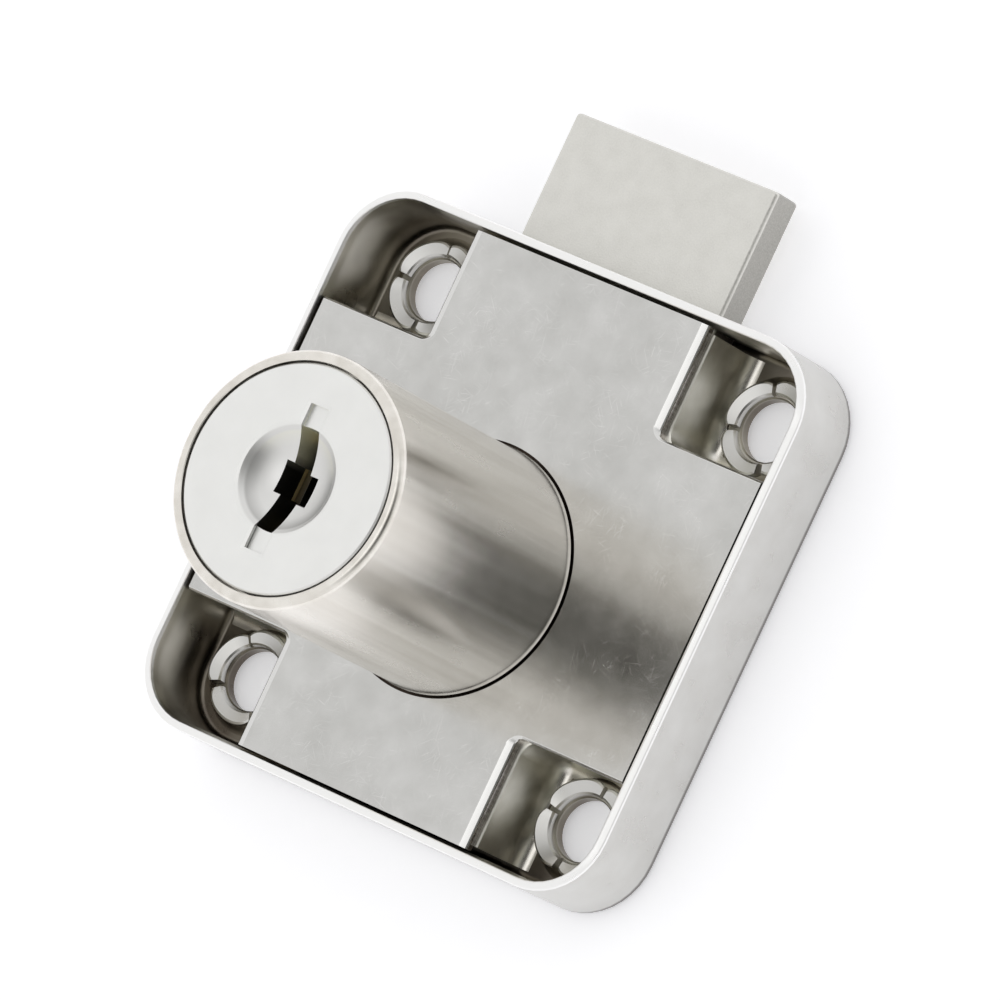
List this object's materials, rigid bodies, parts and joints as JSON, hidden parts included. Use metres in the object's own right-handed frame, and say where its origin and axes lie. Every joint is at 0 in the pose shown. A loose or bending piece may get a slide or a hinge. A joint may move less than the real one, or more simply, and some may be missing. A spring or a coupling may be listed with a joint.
{
  "type": "drawer lock",
  "caption": "Surface-mounted drawer lock: square pressed case, long round key barrel, and a flat rectangular bolt that slides out when the plug is turned.",
  "frame": {"origin": "where the barrel's axis meets the plane of the case's open rim, which rests on the inside of the drawer front", "axes": "+Z along the barrel towards the key face, +Y the way the bolt is thrown, +X to the right of the bolt as seen from the key face"},
  "size_m": [0.041, 0.0506, 0.0297],
  "materials": {
    "nickel_plated_sheet": "drawn steel sheet, nickel plated, satin outside and dull inside",
    "polished_nickel_sheet": "blanked steel sheet, polished nickel plate with faint handling marks",
    "satin_nickel_casting": "die-cast zinc, satin nickel plate",
    "plug_face_nickel": "die-cast zinc, fine matt nickel plate",
    "bolt_zinc": "die-cast zinc, matt and lightly tumbled",
    "zinc_steel": "zinc-plated steel",
    "rivet_steel": "plain steel rivet with a peened head",
    "spring_steel": "bright spring steel",
    "wafer_brass": "stamped brass"
  },
  "bodies": {
    "frame": {"case": "nickel_plated_sheet", "case_rivets": "rivet_steel", "cover_plate": "polished_nickel_sheet", "cylinder_housing": "satin_nickel_casting"},
    "plug": {"plug": "plug_face_nickel", "retaining_clip": "spring_steel", "drive_cam": "zinc_steel", "wafer_spring_1": "spring_steel", "wafer_spring_2": "spring_steel", "wafer_spring_3": "spring_steel", "wafer_spring_4": "spring_steel", "wafer_spring_5": "spring_steel", "wafer_spring_6": "spring_steel", "wafer_spring_7": "spring_steel"},
    "bolt": {"bolt": "bolt_zinc"},
    "wafer_1": {"wafer_1": "wafer_brass"},
    "wafer_2": {"wafer_2": "wafer_brass"},
    "wafer_3": {"wafer_3": "wafer_brass"},
    "wafer_4": {"wafer_4": "wafer_brass"},
    "wafer_5": {"wafer_5": "wafer_brass"},
    "wafer_6": {"wafer_6": "wafer_brass"},
    "wafer_7": {"wafer_7": "wafer_brass"}
  },
  "joints": [
    {"name": "plug_turn", "type": "hinge", "parent": "frame", "child": "plug", "pos_m": [0, 0, 0], "axis": [0, 0, 1], "range_deg": [0, 180]},
    {"name": "bolt_slide", "type": "slide", "parent": "frame", "child": "bolt", "axis": [0, -1, 0], "range_m": [0, 0.0095]},
    {"name": "wafer_1_slide", "type": "slide", "parent": "plug", "child": "wafer_1", "axis": [0, 1, 0], "range_m": [0, 0.0008], "deforming": ["wafer_spring_1"]},
    {"name": "wafer_2_slide", "type": "slide", "parent": "plug", "child": "wafer_2", "axis": [0, -1, 0], "range_m": [0, 0.0008], "deforming": ["wafer_spring_2"]},
    {"name": "wafer_3_slide", "type": "slide", "parent": "plug", "child": "wafer_3", "axis": [0, 1, 0], "range_m": [0, 0.0008], "deforming": ["wafer_spring_3"]},
    {"name": "wafer_4_slide", "type": "slide", "parent": "plug", "child": "wafer_4", "axis": [0, -1, 0], "range_m": [0, 0.0008], "deforming": ["wafer_spring_4"]},
    {"name": "wafer_5_slide", "type": "slide", "parent": "plug", "child": "wafer_5", "axis": [0, 1, 0], "range_m": [0, 0.0008], "deforming": ["wafer_spring_5"]},
    {"name": "wafer_6_slide", "type": "slide", "parent": "plug", "child": "wafer_6", "axis": [0, -1, 0], "range_m": [0, 0.0008], "deforming": ["wafer_spring_6"]},
    {"name": "wafer_7_slide", "type": "slide", "parent": "plug", "child": "wafer_7", "axis": [0, 1, 0], "range_m": [0, 0.0008], "deforming": ["wafer_spring_7"]}
  ],
  "couplings": [
    {"joint": "plug_turn", "follows": "bolt_slide", "rad_per_m": 330.69}
  ]
}
